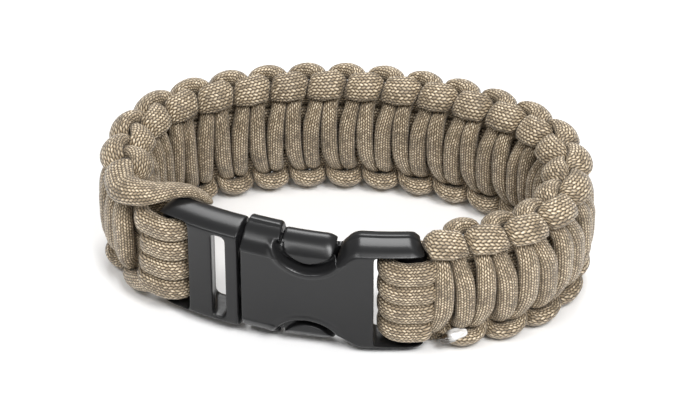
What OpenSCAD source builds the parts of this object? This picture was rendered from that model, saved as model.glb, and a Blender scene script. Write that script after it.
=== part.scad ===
// Paracord bracelet: a flat woven band closed by a curved side release buckle.
// The bracelet stands on one edge of the band, so the loop lies level and its
// width points up. X runs along the buckle, the buckle faces -Y and Z points up.
// Places along the loop are lengths measured on the middle line of the band,
// from the middle of the front curve, towards the socket's strap end.

/* [Band] */
// Width of the woven band, which stands on one edge
band_w = 25; // [23.5:0.5:30]
// Thickness of the woven band over its strands
band_t = 10.4; // [9:0.2:12]
// Length of band that one half knot takes
knot_pitch = 3.5; // [3.2:0.1:4.4]
// Depth of the grooves between the strands that cross the two faces
groove = 1; // [0.4:0.1:1.4]
// Depth of the scallops along the two edges
scallop = 1.3; // [0.6:0.1:1.8]
// Length of bare core strands between the socket and the first knot
socket_bare = 1.3; // [0.6:0.1:4]
// Length of bare core strands between the plug and the last knot
plug_bare = 4.5; // [0.6:0.1:8]

/* [Loop] */
// Radius of the front curve, which the buckle follows
front_r = 65; // [58:1:90]
// Radius of the back curve
back_r = 62; // [55:1:90]
// Radius of the curve at the plug's side
left_r = 17.7; // [16:0.1:20]
// Radius of the curve at the socket's side
right_r = 18.9; // [16:0.1:20]
// Distance along X between the centres of the two side curves
side_span = 42.9; // [40:0.1:52]
// Distance that the right side curve lies behind the left one
side_lean = 4.3; // [0:0.1:6]

/* [Core strands] */
// Width of a core strand, pressed flat where it turns round a bar
core_w = 4.6; // [3.8:0.1:4.7]
// Thickness of a core strand there
core_t = 3.5; // [3:0.1:3.8]
// Distance between neighbouring core strands
core_step = 4.8; // [4.8:0.05:5]
// Clearance between a core strand and the bar or knot that it meets
core_fit = 0.15; // [0.1:0.05:0.3]
// Diameter of the melted end of the knotted cord
tail_d = 3.6; // [3:0.1:4]
// Length of the melted end, without its round tip
tail_l = 3.2; // [2:0.1:4]
// Distance that the melted end lies outwards from the middle of the band
tail_out = 2; // [0:0.1:2.4]

/* [Buckle] */
// Place of the socket's mouth along the front curve
mouth_at = -14.4; // [-18:0.1:-10]
// Thickness of the buckle
buckle_t = 6.8; // [6:0.1:7.6]
// Radius along the buckle's long edges
edge_r = 1.9; // [1:0.1:2.4]
// Radius of the corners at the buckle's two strap ends
corner_r = 3.4; // [2:0.1:4]
// Thickness of the bars that the core strands turn round
bar_t = 2.6; // [2:0.1:3]
// Play between the core strands and the ends of their slot
slot_play = 0.35; // [0.2:0.05:0.5]
// Radius in the corners of the slots
slot_r = 0.9; // [0.4:0.1:1.2]

/* [Socket] */
// Width of the socket
socket_w = 23; // [22.6:0.1:23.5]
// Length of the socket
socket_l = 32.5; // [30:0.5:36]
// Length of the socket's end bar
socket_bar_l = 4.9; // [3.5:0.1:6]
// Free gap left in the socket's strap slot
socket_slot_gap = 0.95; // [0.3:0.05:1.5]
// Thickness of the socket's front and back walls
socket_wall = 1.4; // [1.2:0.1:1.6]
// Thickness of the socket's two side walls
socket_side = 1.6; // [1.3:0.1:1.8]
// Depth of the socket's hollow
hollow_l = 19.5; // [18:0.5:20]
// Distance from the mouth to the middle of the release windows
window_at = 12; // [11:0.5:13]
// Radius of the release windows
window_r = 5.2; // [4.5:0.1:5.6]

/* [Plug] */
// Width of the plug's frame
plug_w = 22; // [21.6:0.1:22.8]
// Thickness of the plug's frame
plug_t = 6.4; // [5.8:0.1:6.8]
// Length of the bar that closes the socket's mouth
base_l = 2.2; // [1.5:0.1:3]
// Length of the empty slot beside that bar
spare_slot_l = 2.7; // [2:0.1:3.4]
// Height of the empty slot
spare_slot_h = 18; // [14:0.5:19]
// Length of the flat bar between the two slots
middle_bar_l = 4.3; // [3:0.1:5]
// Free gap left in the plug's strap slot
plug_slot_gap = 0.75; // [0.3:0.05:1.5]
// Length of the plug's end bar
plug_bar_l = 2.9; // [2.6:0.1:4]
// Thickness of the two prongs
prong_t = 3.5; // [3:0.1:3.6]
// Width of each prong's arm
prong_w = 2.8; // [2.2:0.1:3.2]
// Width of the guide between the prongs
guide_w = 3.2; // [2.4:0.1:4]
// Thickness of the two release buttons
button_t = 5.6; // [4.8:0.1:5.8]
// Clearance between the plug and the socket
plug_fit = 0.3; // [0.2:0.05:0.4]
// Clearance between a release button and the rim of its window
button_fit = 0.5; // [0.3:0.05:0.7]

/* [Hidden] */
$fn = 96;

CORD = [0.55, 0.49, 0.39];
PLASTIC = [0.2, 0.2, 0.21];
MELT = [0.62, 0.6, 0.57];

// Number of core strands side by side
strands = 4;
// Rings of points on the band for each half knot, and points on each ring
rings_per_knot = 4;
ring_points = 24;
// Points on each ring of a core strand, and steps along its run and round its bend
core_points = 10;
run_steps = 3;
bend_steps = 8;
// Power of a core strand's section
core_power = 2.6;
// Power of the band's section: 2 is an ellipse, and more is nearer a rectangle
section_power = 3.2;
// Share of a half knot by which each crossing strand leans at the two edges
strand_lean = 0.25;
// Share of its thickness that the band keeps at its two ends
end_share = 0.82;
// Half knots over which the band's lower edge comes down beside the melted end
seat_slope = 0.8;
// Reach of a cutter that passes right through the buckle
through_l = 30;

// The loop: four arcs that run into each other
function meet(a, ra, b, rb, side) =
    let (d = norm(b - a), e = (b - a) / d, m = (ra * ra - rb * rb + d * d) / (2 * d))
    a + m * e + side * sqrt(ra * ra - m * m) * [-e[1], e[0]];
function direction(v) = atan2(v[1], v[0]);
function turn(from, to) = (to - from + 720) % 360;
function arc_length(angle, r) = angle * PI / 180 * r;
function arc_angle(length, r) = length / r * 180 / PI;

left_c = [-side_span / 2, -side_lean / 2];
right_c = [side_span / 2, side_lean / 2];
front_c = meet(left_c, front_r - left_r, right_c, front_r - right_r, 1);
back_c = meet(left_c, back_r - left_r, right_c, back_r - right_r, -1);
front_right_a = direction(right_c - front_c);
front_left_a = direction(left_c - front_c);
back_right_a = direction(right_c - back_c);
back_left_a = direction(left_c - back_c);
front_half_a = turn(front_left_a, front_right_a) / 2;
front_mid_a = front_right_a - front_half_a;

half_l = arc_length(front_half_a, front_r);
right_l = arc_length(turn(front_right_a, back_right_a), right_r);
back_l = arc_length(turn(back_right_a, back_left_a), back_r);
left_l = arc_length(turn(back_left_a, front_left_a), left_r);
loop_l = 2 * half_l + right_l + back_l + left_l;

// Each arc: its centre, radius, first angle, and the places where it starts and ends
ARCS = [
    [front_c, front_r, front_mid_a, 0, half_l],
    [right_c, right_r, front_right_a, half_l, half_l + right_l],
    [back_c, back_r, back_right_a, half_l + right_l, half_l + right_l + back_l],
    [left_c, left_r, back_left_a, half_l + right_l + back_l, loop_l - half_l],
    [front_c, front_r, front_left_a, loop_l - half_l, loop_l]
];
function arc_at(s) = [for (a = ARCS) if (s <= a[4]) a][0];
function normal_a(s) = let (a = arc_at(s)) a[2] + arc_angle(s - a[3], a[1]);
function outward(s) = [cos(normal_a(s)), sin(normal_a(s))];
function middle(s) = let (a = arc_at(s)) a[0] + a[1] * outward(s);

// Places along the loop
socket_end = mouth_at + socket_l;
plug_l = base_l + spare_slot_l + middle_bar_l + core_fit + core_t + plug_slot_gap + plug_bar_l;
plug_start = mouth_at - plug_fit;
plug_end = plug_start - plug_l;
band_start = socket_end + socket_bare;
band_end = loop_l + plug_end - plug_bare;
half_knots = round((band_end - band_start) / knot_pitch);
pitch = (band_end - band_start) / half_knots;
mid_z = band_w / 2;

// Slots and bars
slot_h = strands * core_step + 2 * slot_play;
socket_slot_l = core_fit + core_t + socket_slot_gap;
plug_slot_l = core_fit + core_t + plug_slot_gap;
bend_r = bar_t / 2 + core_fit + core_t / 2;
socket_bend = socket_end - socket_bar_l + bar_t / 2;
plug_bend = plug_end + plug_bar_l - bar_t / 2;

// A superellipse: the place at an angle on an outline that reaches 1 each way
function power(x, p) = sign(x) * pow(abs(x), p);
function outline(angle, p) = [power(cos(angle), 2 / p), power(sin(angle), 2 / p)];

// The faces of a tube of rings that all have n points, with both ends closed
function tube_faces(rings, n) = concat(
    [
        for (i = [0:rings - 2], j = [0:n - 1])
            let (a = i * n + j, b = i * n + (j + 1) % n)
            each [[a, b, a + n], [b, b + n, a + n]]
    ],
    [[for (j = [n - 1:-1:0]) j], [for (j = [0:n - 1]) (rings - 1) * n + j]]
);

// The band's surface: u counts half knots, w is the share of the way out and v the
// share of the way up. Each half knot has one strand across each face. Even strands
// lean one way and odd ones the other, so that they meet in pairs. Along both edges
// the turning strands make a bump every two half knots, and the bumps on the outer
// side of an edge lie between those on its inner side.
function strand_gap(u, lean) =
    min([for (k = [floor(u) - 1:floor(u) + 2]) abs(u - k - (k % 2 == 0 ? 1 : -1) * lean)]);
function face_relief(u, lean) = (1 - cos(180 * min(1, 2 * strand_gap(u, lean)))) / 2;
function edge_relief(u, w, v) =
    min(1, 2 * abs(w)) * (1 + sign(w) * sign(v) * cos(180 * (u - 0.5))) / 2;
function end_taper(u) =
    end_share + (1 - end_share) * sin(90 * min(1, min(u, half_knots - u)));

// At the first knot the lower edge is lifted to leave a seat for the melted end
tail_end = (tail_l + tail_d / 2 + 2 * core_fit) / pitch;
seat_z = tail_d + 3 * core_fit;
function seat_lift(u) = seat_z * max(0, min(1, 1 + (tail_end - u) / seat_slope));

function band_point(u, angle) =
    let (
        s = band_start + u * pitch,
        side = outline(angle, section_power),
        w = side[0],
        v = side[1],
        flat = pow(abs(w), 3),
        across = face_relief(u, strand_lean * v * sign(w)),
        over = edge_relief(u, w, v),
        out = band_t / 2 * end_taper(u) * w - groove * across * flat * sign(w),
        up = (band_w / 2 - scallop * over) * v,
        p = middle(s) + outward(s) * out
    )
    [p[0], p[1], max(mid_z + up, v < 0 ? seat_lift(u) : 0)];

band_rings = half_knots * rings_per_knot + 1;
band_points = [
    for (i = [0:band_rings - 1], j = [0:ring_points - 1])
        band_point(i / rings_per_knot, 360 * j / ring_points)
];

// A core strand's rings: along one side of the band's middle line to the bar, half
// round the bar, and back along the other side. Each ring is its middle and the
// direction that its thickness is measured in. side is 1 where the bend points
// along the loop, and -1 where it points back.
function run_ring(s, q) = [middle(s) + q * bend_r * outward(s), q * outward(s)];
function bend_ring(s, a, side) =
    let (e = outward(s), d = side * (cos(a) * e + sin(a) * [-e[1], e[0]]))
    [middle(s) + bend_r * d, d];
function core_rings(far, bend, side) = concat(
    [for (i = [0:run_steps - 1]) run_ring(far + (bend - far) * i / run_steps, side)],
    [for (i = [0:bend_steps]) bend_ring(bend, 180 * i / bend_steps, side)],
    [for (i = [run_steps - 1:-1:0]) run_ring(far + (bend - far) * i / run_steps, -side)]
);

// The origin is under the middle of the bracelet's box
outer_run = front_r + bend_r + core_t / 2;
socket_front = front_c[1] + outer_run * sin(front_mid_a + arc_angle(socket_bend, front_r));
low_x = min([for (p = band_points) p[0]]);
high_x = max([for (p = band_points) p[0]]);
low_y = min(front_c[1] - front_r - buckle_t / 2, socket_front, min([for (p = band_points) p[1]]));
high_y = max([for (p = band_points) p[1]]);
origin = [(low_x + high_x) / 2, (low_y + high_y) / 2];

module placed() {
    translate([-origin[0], -origin[1], 0])
        children();
}

// A stretch of the front curve, where the buckle lies, swept from a section drawn
// across it, x outwards and y up
module along_front(from, to) {
    translate([front_c[0], front_c[1], mid_z])
        rotate([0, 0, front_mid_a + arc_angle(from, front_r)])
            rotate_extrude(angle = arc_angle(to - from, front_r))
                translate([front_r, 0])
                    children();
}

// A frame on the front curve: x outwards, y along the curve and z up
module on_front(s) {
    translate([front_c[0], front_c[1], mid_z])
        rotate([0, 0, front_mid_a + arc_angle(s, front_r)])
            translate([front_r, 0, 0])
                children();
}

// An outline drawn along the curve and up, carried right through the buckle
module through(s) {
    on_front(s)
        rotate([90, 0, 90])
            linear_extrude(through_l, center = true)
                children();
}

module soft_rectangle(w, h, r) {
    square([w - 2 * r, h], center = true);
    square([w, h - 2 * r], center = true);
    for (x = [-1, 1], y = [-1, 1])
        translate([x * (w / 2 - r), y * (h / 2 - r)])
            circle(r);
}

// A rectangle with two round ends, along x
module stadium(l, t) {
    square([l - t, t], center = true);
    for (x = [-1, 1])
        translate([x * (l - t) / 2, 0])
            circle(t / 2);
}

// What is cut off the two corners of a strap end: the end faces +x when side is 1
module corner_cuts(s, w, side) {
    through(s)
        for (y = [-1, 1])
            difference() {
                translate([side * -corner_r / 2 + side * 0.5, y * (w / 2 - corner_r / 2 + 0.5)])
                    square(corner_r + 1, center = true);
                translate([side * -corner_r, y * (w / 2 - corner_r)])
                    circle(corner_r);
            }
}

// The room for the core strands at a strap end, from the slot to past the end
module strap_room(from, to) {
    through((from + to) / 2)
        soft_rectangle(to - from, slot_h, slot_r);
}

module end_bar(s, l) {
    on_front(s)
        rotate([0, 0, 90])
            linear_extrude(slot_h + slot_r, center = true)
                stadium(l, bar_t);
}

module window(s, r) {
    through(s)
        for (y = [-1, 1])
            translate([0, y * socket_w / 2])
                circle(r);
}

module buckle_socket() {
    slot_start = socket_end - socket_bar_l - socket_slot_l;
    color(PLASTIC)
        placed()
            difference() {
                union() {
                    difference() {
                        along_front(mouth_at, socket_end)
                            soft_rectangle(buckle_t, socket_w, edge_r);
                        strap_room(slot_start, socket_end + 2 * slot_r);
                    }
                    end_bar(socket_end - socket_bar_l / 2, socket_bar_l);
                }
                along_front(mouth_at - plug_fit, mouth_at + hollow_l)
                    square([buckle_t - 2 * socket_wall, socket_w - 2 * socket_side], center = true);
                window(mouth_at + window_at, window_r);
                corner_cuts(socket_end, socket_w, 1);
            }
}

module prong(y) {
    hollow_w = socket_w - 2 * socket_side;
    top = hollow_w / 2 - plug_fit;
    translate([-base_l / 2, y > 0 ? top - prong_w : -top])
        square([window_at + base_l / 2, prong_w]);
}

module plug_tongues() {
    tongue_l = window_at + window_r - button_fit;
    intersection() {
        along_front(plug_start - base_l / 2, mouth_at + tongue_l)
            square([prong_t, socket_w], center = true);
        through(mouth_at)
            union() {
                prong(1);
                prong(-1);
                translate([-base_l / 2, -guide_w / 2])
                    square([tongue_l + base_l / 2, guide_w]);
            }
    }
}

module release_buttons() {
    intersection() {
        along_front(mouth_at, mouth_at + hollow_l)
            soft_rectangle(button_t, socket_w - 2 * plug_fit, edge_r);
        window(mouth_at + window_at, window_r - button_fit);
    }
}

module buckle_plug() {
    strap_l = plug_bar_l + plug_slot_l;
    spare_at = plug_start - base_l - spare_slot_l / 2;
    color(PLASTIC)
        placed() {
            difference() {
                union() {
                    difference() {
                        along_front(plug_end, plug_start)
                            soft_rectangle(plug_t, plug_w, edge_r);
                        strap_room(plug_end - 2 * slot_r, plug_end + strap_l);
                    }
                    end_bar(plug_end + plug_bar_l / 2, plug_bar_l);
                }
                through(spare_at)
                    soft_rectangle(spare_slot_l, spare_slot_h, slot_r);
                corner_cuts(plug_end, plug_w, -1);
            }
            plug_tongues();
            release_buttons();
        }
}

// One core strand, in its row of the four that lie side by side
module core_loop(row, far, bend, side) {
    rings = core_rings(far, bend, side);
    z = mid_z + (row - (strands - 1) / 2) * core_step;
    points = [
        for (r = rings, j = [0:core_points - 1])
            let (o = outline(360 * (j + 0.5) / core_points, core_power))
            [r[0][0] + r[1][0] * o[0] * core_t / 2, r[0][1] + r[1][1] * o[0] * core_t / 2, z + o[1] * core_w / 2]
    ];
    color(CORD)
        placed()
            polyhedron(points = points, faces = tube_faces(len(rings), core_points));
}

module core_loop_socket(row) {
    core_loop(row, band_start - core_fit, socket_bend, -1);
}

module core_loop_plug(row) {
    core_loop(row, band_end + core_fit, loop_l + plug_bend, 1);
}

module woven_band() {
    color(CORD)
        placed()
            polyhedron(points = band_points, faces = tube_faces(band_rings, ring_points));
}

// The melted end lies in its seat under the first knot, along the band
module melted_end() {
    s = band_start + core_fit + tail_d / 2;
    color(MELT)
        placed()
            translate([middle(s)[0], middle(s)[1], core_fit + tail_d / 2])
                rotate([0, 0, normal_a(s)])
                    translate([tail_out, 0, 0])
                        rotate([-90, 0, 0]) {
                            cylinder(d = tail_d, h = tail_l);
                            sphere(d = tail_d);
                        }
}

woven_band();
buckle_socket();
buckle_plug();
melted_end();
core_loop_socket(0);  // core_loop_socket_1
core_loop_socket(1);  // core_loop_socket_2
core_loop_socket(2);  // core_loop_socket_3
core_loop_socket(3);  // core_loop_socket_4
core_loop_plug(0);  // core_loop_plug_1
core_loop_plug(1);  // core_loop_plug_2
core_loop_plug(2);  // core_loop_plug_3
core_loop_plug(3);  // core_loop_plug_4
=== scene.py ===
"""Paracord bracelet: the looks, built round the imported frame.

The file is laid out as an add-on and is run as a script. Lengths are in metres, and the
tables of cords are in millimetres. A place on the bracelet is given by s along the loop,
on the middle line of the band from the middle of the front curve towards the socket's
strap end, v up across the band's width and w outwards through its thickness.
"""

import math

import bpy
import numpy as np
from bpy.props import (
    FloatProperty,
    FloatVectorProperty,
    IntProperty,
    PointerProperty,
)
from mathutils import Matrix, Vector


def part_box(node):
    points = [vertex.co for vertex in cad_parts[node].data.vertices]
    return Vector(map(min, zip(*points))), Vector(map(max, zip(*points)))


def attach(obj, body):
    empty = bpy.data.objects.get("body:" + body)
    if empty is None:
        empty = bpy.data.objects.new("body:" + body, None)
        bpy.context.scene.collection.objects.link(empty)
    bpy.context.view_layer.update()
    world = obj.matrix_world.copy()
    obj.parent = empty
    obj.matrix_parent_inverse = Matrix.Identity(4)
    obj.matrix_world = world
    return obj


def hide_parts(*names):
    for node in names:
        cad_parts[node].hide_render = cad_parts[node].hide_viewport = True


bl_info = {
    "name": "Paracord bracelet",
    "version": (1, 0, 0),
    "blender": (4, 5, 0),
    "location": "3D View > Sidebar > Bracelet",
    "description": "Builds the woven cords, the buckle and the studio of a paracord bracelet",
    "category": "Object",
}

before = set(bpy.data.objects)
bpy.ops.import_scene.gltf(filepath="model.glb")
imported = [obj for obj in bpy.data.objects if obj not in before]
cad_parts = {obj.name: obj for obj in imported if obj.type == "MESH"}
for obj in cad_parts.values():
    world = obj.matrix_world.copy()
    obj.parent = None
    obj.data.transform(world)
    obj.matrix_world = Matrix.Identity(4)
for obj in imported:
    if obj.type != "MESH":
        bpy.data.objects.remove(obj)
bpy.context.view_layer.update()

MM = 0.001
BODY = "root"

# The loop's four arcs, the band and the buckle's end bars, as in the solids
FRONT_R = 65 * MM
BACK_R = 62 * MM
LEFT_R = 17.7 * MM
RIGHT_R = 18.9 * MM
SIDE_SPAN = 42.9 * MM
SIDE_LEAN = 4.3 * MM
BAND_W = 25 * MM
BAND_T = 10.4 * MM
MID_Z = BAND_W / 2
BAND_START = 19.4 * MM
BAND_END = -35.71 * MM
SOCKET_BAR = 14.5 * MM
PLUG_BAR = -29.6 * MM

# How much higher the back of the band stands, and where that begins, from front to back
BACK_LIFT = 0.8 * MM
LIFT_START = -7.5 * MM
LIFT_LENGTH = 30 * MM

# One half turn of the outer knotting cord, in millimetres: the place of its middle
# along the band, up across it and outwards, its width and thickness there, and two
# angles in degrees by which its broad side is turned from outwards, first to upwards
# and then along the band. It leaves the middle of the outer face, goes up under a
# bump, out round the upper edge, makes a bump on the inner side, dives beside the core
# and comes back. The next half turn is the same one pitch further, mirrored top to
# bottom, which changes the signs that MIRROR names.
HALF_TURN = (
    (0.00, 0.00, 3.55, 3.9, 3.6, 0, 0),
    (-0.10, 1.39, 3.56, 3.9, 3.6, 0, 0),
    (-0.28, 2.78, 3.50, 3.9, 3.6, 0, 0),
    (-0.60, 4.17, 3.30, 3.6, 3.3, 0, 0),
    (-1.00, 5.50, 2.85, 3.4, 3.1, 8, 0),
    (-1.35, 6.70, 2.20, 3.5, 3.0, 22, -10),
    (-1.65, 7.75, 1.40, 4.1, 3.0, 45, -30),
    (-1.85, 8.80, 0.50, 4.9, 3.1, 75, -55),
    (-1.95, 9.60, -0.40, 5.5, 3.1, 100, -60),
    (-1.75, 10.15, -1.25, 5.9, 3.2, 118, -42),
    (-1.00, 10.45, -1.90, 6.1, 3.3, 128, -18),
    (0.00, 10.55, -2.25, 6.1, 3.4, 130, -5),
    (1.05, 10.45, -2.30, 6.1, 3.4, 130, 5),
    (2.10, 10.15, -2.10, 6.1, 3.3, 130, 20),
    (2.70, 9.60, -1.75, 5.6, 3.1, 124, 50),
    (2.85, 8.75, -1.20, 4.8, 3.1, 100, 75),
    (2.80, 7.95, -0.50, 4.2, 3.0, 60, 80),
    (2.90, 7.50, 0.40, 3.7, 3.0, 30, 65),
    (3.10, 7.15, 1.35, 3.5, 3.0, 20, 40),
    (3.35, 6.50, 2.30, 3.4, 3.1, 10, 20),
    (3.55, 5.30, 3.05, 3.5, 3.2, 5, 8),
    (3.60, 4.00, 3.40, 3.7, 3.4, 0, 0),
    (3.58, 2.65, 3.52, 3.8, 3.5, 0, 0),
    (3.54, 1.33, 3.56, 3.9, 3.6, 0, 0),
)
HALF_TURN_PITCH = 3.484
MIRROR = np.array([1, -1, 1, 1, 1, -1, 1])

# The crossings of the two cords, the distances of the first and last one from the
# band's ends, and where each cord starts and ends, in half turns from the first one
CROSSINGS = 42
FIRST_CROSSING = 1.2 * MM
LAST_CROSSING = 2.0 * MM
OUTER_ENDS = (-0.32, CROSSINGS - 0.66)
INNER_ENDS = (-0.40, CROSSINGS - 1.58)

# A section is cut at this share of the half way to a neighbour, and the mean that joins
# the two has this power. Points of one cord within OWN_REACH millimetres along it don't
# press on each other, and FAR stands for no neighbour.
PRESS_SHARE = 0.985
PRESS_POWER = 6
OWN_REACH = 5
FAR = 1e3

# The outer half of a core strand that goes round an end bar, in millimetres: distance
# from the bar's middle towards the band, distance outwards, share of its height kept,
# width and thickness. The other half is the same on the inner side.
CORE_LOOP = (
    (9.5, 0.80, 0.74, 3.0, 1.6),
    (7.2, 0.80, 0.78, 3.1, 1.7),
    (5.8, 0.95, 0.85, 3.4, 1.9),
    (4.8, 1.60, 0.94, 3.95, 2.5),
    (4.0, 2.45, 0.99, 4.05, 3.2),
    (3.1, 3.05, 1.00, 4.1, 3.5),
    (2.0, 3.20, 1.00, 4.1, 3.5),
    (1.0, 3.20, 1.00, 4.1, 3.4),
    (0.0, 3.20, 1.00, 4.1, 3.4),
    (-1.35, 2.95, 1.00, 4.1, 3.4),
    (-2.50, 2.26, 1.00, 4.1, 3.4),
    (-3.25, 1.22, 1.00, 4.1, 3.4),
    (-3.50, 0.00, 1.00, 4.1, 3.4),
)
CORE_ROWS = (1.5, 0.5, -0.5, -1.5)

# How much nearer to the bar each row goes down into the band, in millimetres
SOCKET_TUCKS = (0.3, 0.0, 0.3, 1.2)
PLUG_TUCKS = (0.0, 1.6, 1.0, 0.2)

# The loose end of the inner cord, with the columns of HALF_TURN and its places along
# the band counted from the last crossing: off the last bump, over the upper edge and
# along the inner side of the buckle.
TAIL = (
    (-5.6, 9.8, 0.6, 3.6, 2.2, 62, 0),
    (-4.8, 10.5, 1.7, 5.9, 3.3, 52, 0),
    (-3.6, 10.7, 2.3, 6.0, 3.5, 50, 0),
    (-1.8, 10.6, 2.9, 6.0, 3.4, 50, 0),
    (0.0, 10.7, 3.5, 5.6, 3.2, 52, 0),
    (2.0, 11.2, 3.3, 5.2, 3.2, 58, 0),
    (4.2, 11.7, 2.3, 5.0, 3.0, 68, 0),
    (6.2, 12.0, 0.8, 4.5, 2.8, 80, 0),
    (8.2, 12.1, -1.2, 3.9, 2.5, 92, 0),
    (10.2, 11.7, -2.9, 3.4, 2.2, 105, 0),
    (12.0, 10.9, -3.9, 2.8, 1.9, 115, 0),
    (13.5, 10.0, -4.3, 2.0, 1.5, 120, 0),
    (14.4, 9.5, -4.4, 0.7, 0.6, 120, 0),
)

# The lowest core strand where it turns away from the plug, with the same columns: under
# the last crossing, round the lower edge and into the band.
TURN = (
    (9.0, -6.3, 2.9, 3.4, 2.8, -30, 0),
    (6.0, -7.0, 3.0, 3.8, 3.2, -35, 0),
    (3.6, -8.3, 3.0, 4.0, 3.3, -40, 0),
    (1.3, -9.6, 2.5, 4.0, 3.3, -50, 0),
    (-1.0, -10.4, 1.4, 4.0, 3.2, -65, 0),
    (-2.8, -10.4, 0.0, 3.8, 3.0, -85, 0),
    (-4.0, -9.8, -1.2, 3.4, 2.6, -100, 0),
)

# Powers of the superellipses of a core strand in the band and round an end bar, the
# distance from the bar at which a tuck fades in and over what length, and the length in
# the band over which the buckle's droop fades out
CORE_POWER = 2.2
LOOP_POWER = 2.8
TUCK_FADE = (1.5 * MM, 3 * MM)
DROOP_FADE = 5 * MM

# How finely the cords are made: sides of a section, sections of a half turn, a short
# cord, a core loop and a core strand, and points from which lengths are measured
SIDES = 18
SAMPLES = 80
SHORT_RINGS = 160
LOOP_RINGS = 240
CORE_RINGS = 300
FINE = 2000
ANGLES = np.arange(SIDES) * 2 * math.pi / SIDES

# The melted end: its rings and sides, the angle of its end rings, and the length that
# one radian of it stands for in its UV map
MELT_RINGS = 40
MELT_SIDES = 48
MELT_CAP = 0.03
MELT_SPREAD = 2 * MM

# Where the changes to the buckle's halves fade in, each with its start and its length:
# out from the middle of the thickness, or inwards
FACE = (1.5 * MM, 1.2 * MM)
PARTING_BACK = (0.6 * MM, 0.4 * MM)
THROUGH_PLUG = (-3.2 * MM, 6.4 * MM)

# Up or down from the buckle's middle, or for SLOT_ENDS towards it
SHOULDER = (7.5 * MM, 4 * MM)
MOUTH_RAIL = (6.5 * MM, 4.5 * MM)
SOCKET_EAR = (8 * MM, 3.5 * MM)
SOCKET_EDGE = (9.6 * MM, 1.9 * MM)
PARTING_EDGE = (9.6 * MM, 1.2 * MM)
BUTTON_FACE = (6 * MM, 5 * MM)
PLUG_EAR = (8 * MM, 3.2 * MM)
PLUG_EDGE = (9.4 * MM, 1.8 * MM)
SLOT_ENDS = (-9.9 * MM, 0.9 * MM)
RAIL_SLOPE = 3.6 * MM

# Along the loop: past a window's far edge, before the mouth and inside a button's edge
SHOULDER_ONSET = (-1.2 * MM, 0.9 * MM)
PAST_WINDOW = (0, 4 * MM)
MOUTH_EDGE = (-1.5 * MM, 1.5 * MM)
BESIDE_BUTTON = (-2 * MM, 2 * MM)

# The back and the front of what falls forwards
SOCKET_FALL = (-1.5 * MM, 3.9 * MM)
BUTTON_TURN = (-1.2 * MM, 2.8 * MM)
PLUG_FALL = (-1.2 * MM, 3.7 * MM)

# The steepness of a dish's edge, the slope at a button's far end, the step from the
# socket's edge down to a button's top, the least height that a share is taken of, and
# how far past its middle the empty slot leans
DISH_STEEP = 1.6
BUTTON_SLOPE_START = 2.6 * MM
BUTTON_SLOPE_LENGTH = 2.2 * MM
BUTTON_TOP = 0.3 * MM
LEAST_HEIGHT = 0.05 * MM
SLOT_MARGIN = 0.8 * MM

# Scale and detail of the noises, depths of the bumps, and where along the melted end
# it is scorched, past its painted highlight, in millimetres, and by how much its streaks move that
CORD_PATCHES = (260.0, 3.0)
PLASTIC_GRAIN = (2600.0, 2.0)
PLASTIC_CLOUDS = (90.0, 2.0)
MELT_STREAKS = (900.0, 4.0)
PICK_DEPTH = 0.13 * MM
GRAIN_DEPTH = 0.05 * MM
STREAK_DEPTH = 0.2 * MM
SCORCH_START = 3.3
SCORCH_FRAY = 1.6

# In a softened copy, points this near become one and a smoothing step goes this far
WELD = 1e-6
SMOOTHING = 0.5

# The studio: half the floor's side, the camera's sensor in millimetres, and for each
# light its name, its place, its width and height and its power in watts
FLOOR_HALF = 3
SENSOR_WIDTH = 36
LIGHTS = (
    ("key", (0.5, -0.55, 0.95), 0.4, 0.4, 10.8),
    ("strip", (-0.25, -0.6, 0.9), 0.9, 0.2, 5.0),
    ("back", (-0.1, 0.7, 1.0), 0.6, 0.5, 9.6),
)


def length(name, description, millimetres):
    """A length that a user can change, with its default in millimetres."""
    return FloatProperty(
        name=name, description=description, default=millimetres * MM, unit="LENGTH")


def colour(name, description, *default):
    """A colour that a user can change."""
    return FloatVectorProperty(
        name=name, description=description, default=default, subtype="COLOR")


class CordSizes(bpy.types.PropertyGroup):
    """Sizes of the knotting cords and core strands"""

    socket_step: length("Socket rows", "Height from strand to strand at the socket", 4.15)
    plug_step: length("Plug rows", "Height from strand to strand at the plug", 4.35)
    core_step: length("Core rows", "Height from strand to strand inside the band", 5.0)
    core_width: length("Core width", "Width of a strand inside the band", 4.9)
    core_thickness: length("Core thickness", "Thickness of a strand inside the band", 3.2)
    melt_length: length("Melted end length", "Length of the melted end along the band", 4.8)
    melt_height: length("Melted end height", "Height of the melted end", 2.1)
    melt_along: length("Melted end place", "Place along the band, from its start", 2.9)
    melt_up: length("Melted end level", "Height above the band's middle", -8.7)
    melt_out: length("Melted end reach", "Distance outwards from the middle of the band", 3.8)
    melt_tilt: FloatProperty(
        name="Melted end tilt", description="Turn of the melted end upwards along the band",
        default=math.radians(18), unit="ROTATION")
    columns: IntProperty(
        name="Braid columns", description="Columns of picks round a cord", default=22)
    pick: length("Pick length", "Length of one pick of the braid", 0.58)


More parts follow.
